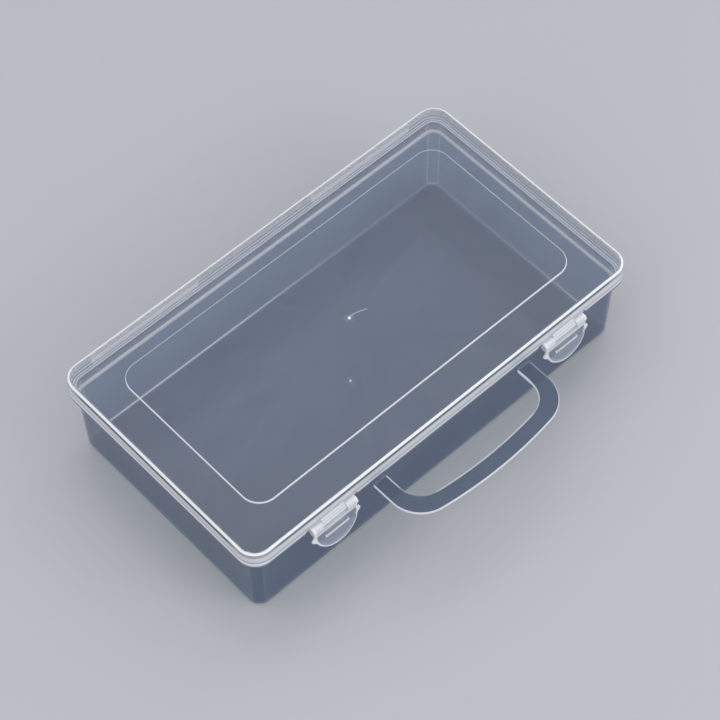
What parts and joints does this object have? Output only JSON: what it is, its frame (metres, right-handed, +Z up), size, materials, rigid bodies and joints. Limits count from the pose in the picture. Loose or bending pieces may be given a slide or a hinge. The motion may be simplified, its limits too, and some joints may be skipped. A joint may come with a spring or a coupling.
{
  "type": "storage organizer",
  "caption": "Shallow see-through plastic storage box with a flat hinged lid, snap latches with round finger tabs and a flat folding carry handle at the front.",
  "frame": {"origin": "middle of the flat underside of the tray, on the surface that it stands on", "axes": "+X along the long side, -Y towards the front with the handle and latches, +Z up"},
  "size_m": [0.24, 0.1713, 0.0554],
  "materials": {
    "clear_tray": "glossy see-through polypropylene",
    "clear_lid": "glossy see-through polypropylene",
    "frosted_handle": "frosted polypropylene",
    "frosted_latch": "frosted polypropylene"
  },
  "bodies": {
    "tray": {"tray": "clear_tray"},
    "lid": {"lid": "clear_lid"},
    "handle": {"handle": "frosted_handle"},
    "latch_left": {"latch_left": "frosted_latch"},
    "latch_right": {"latch_right": "frosted_latch"}
  },
  "joints": [
    {"name": "lid_hinge", "type": "hinge", "parent": "tray", "child": "lid", "pos_m": [0, 0.069, 0.04665], "axis": [-1, 0, 0], "range_deg": [0, 180]},
    {"name": "handle_fold", "type": "hinge", "parent": "tray", "child": "handle", "pos_m": [0, -0.0692, 0.0447], "axis": [1, 0, 0], "range_deg": [-80, 80], "stiffness_Nm_per_rad": 0.05},
    {"name": "latch_left_swing", "type": "hinge", "parent": "lid", "child": "latch_left", "pos_m": [-0.0732, -0.069, 0.0443], "axis": [-1, 0, 0], "range_deg": [0, 130]},
    {"name": "latch_right_swing", "type": "hinge", "parent": "lid", "child": "latch_right", "pos_m": [0.0732, -0.069, 0.0443], "axis": [-1, 0, 0], "range_deg": [0, 130]}
  ]
}
